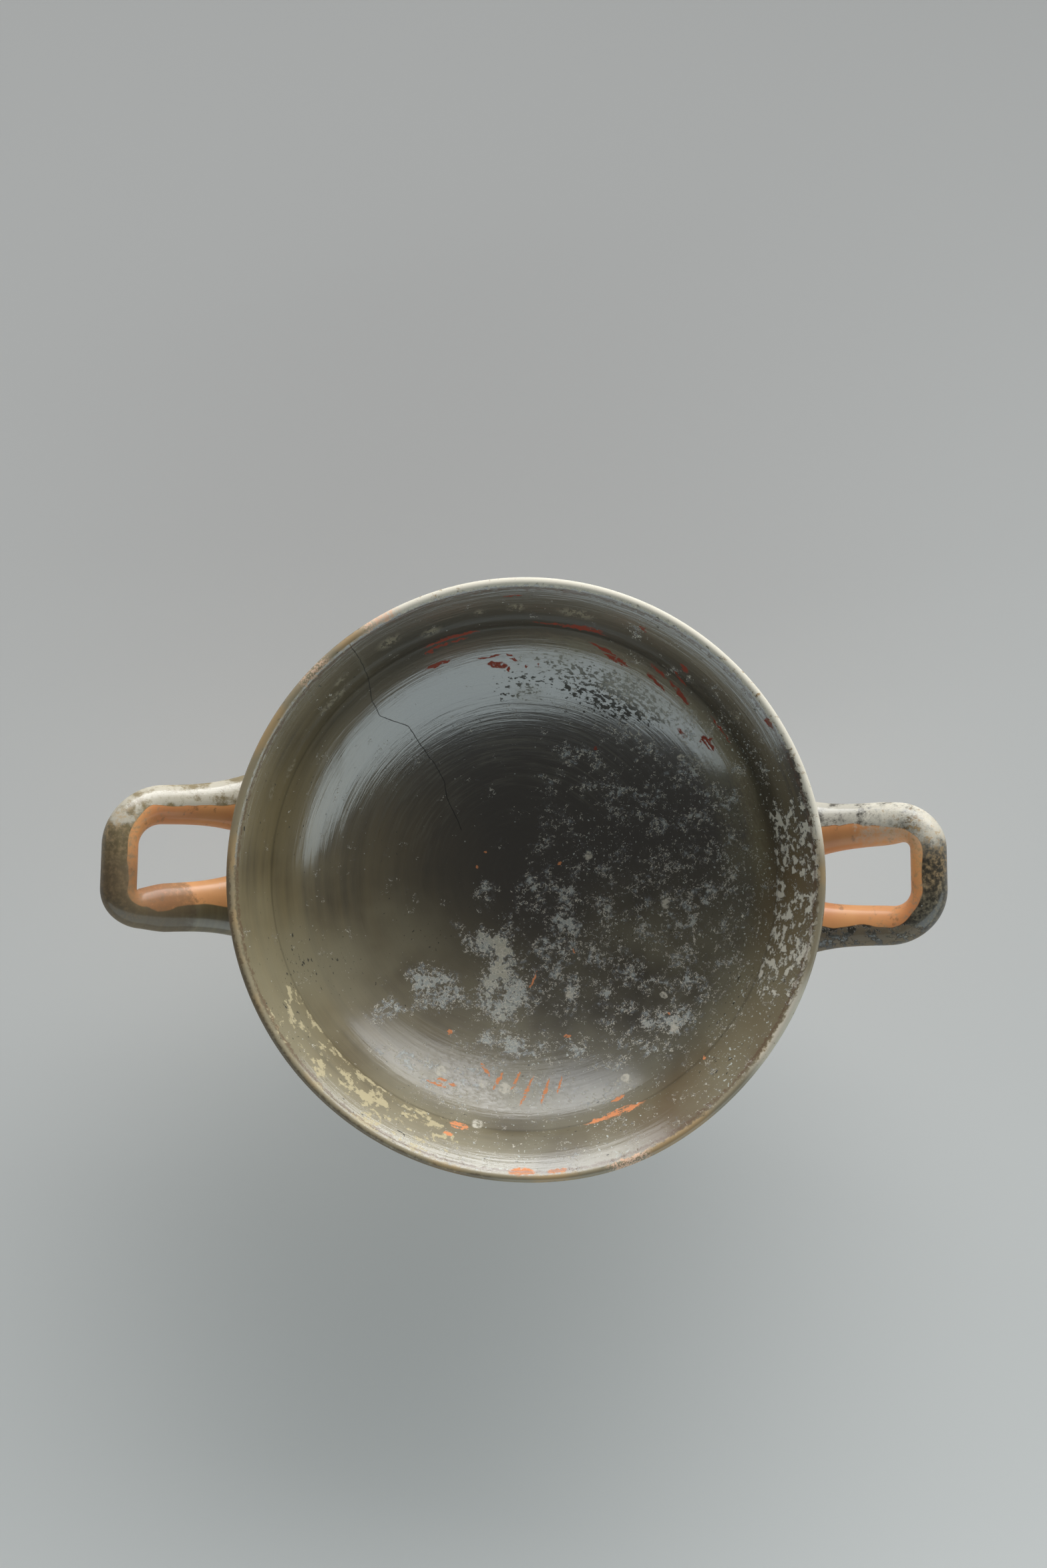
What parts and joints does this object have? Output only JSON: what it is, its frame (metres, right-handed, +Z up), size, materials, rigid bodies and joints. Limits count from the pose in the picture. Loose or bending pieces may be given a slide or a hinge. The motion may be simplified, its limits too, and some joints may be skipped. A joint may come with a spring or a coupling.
{
  "type": "greek kylix cup",
  "caption": "Shallow stemmed drinking cup with an offset lip, a broad disc foot and two upswept square loop handles, in black gloss over orange clay, worn and stained by burial.",
  "frame": {"origin": "on the table under the middle of the foot, on the axis that the cup was thrown on", "axes": "+Z up along that axis, +X along the line through the two handles"},
  "size_m": [0.2548, 0.181, 0.0783],
  "materials": {
    "black_gloss": "gloss"
  },
  "bodies": {
    "root": {"kylix": "black_gloss"}
  },
  "joints": []
}
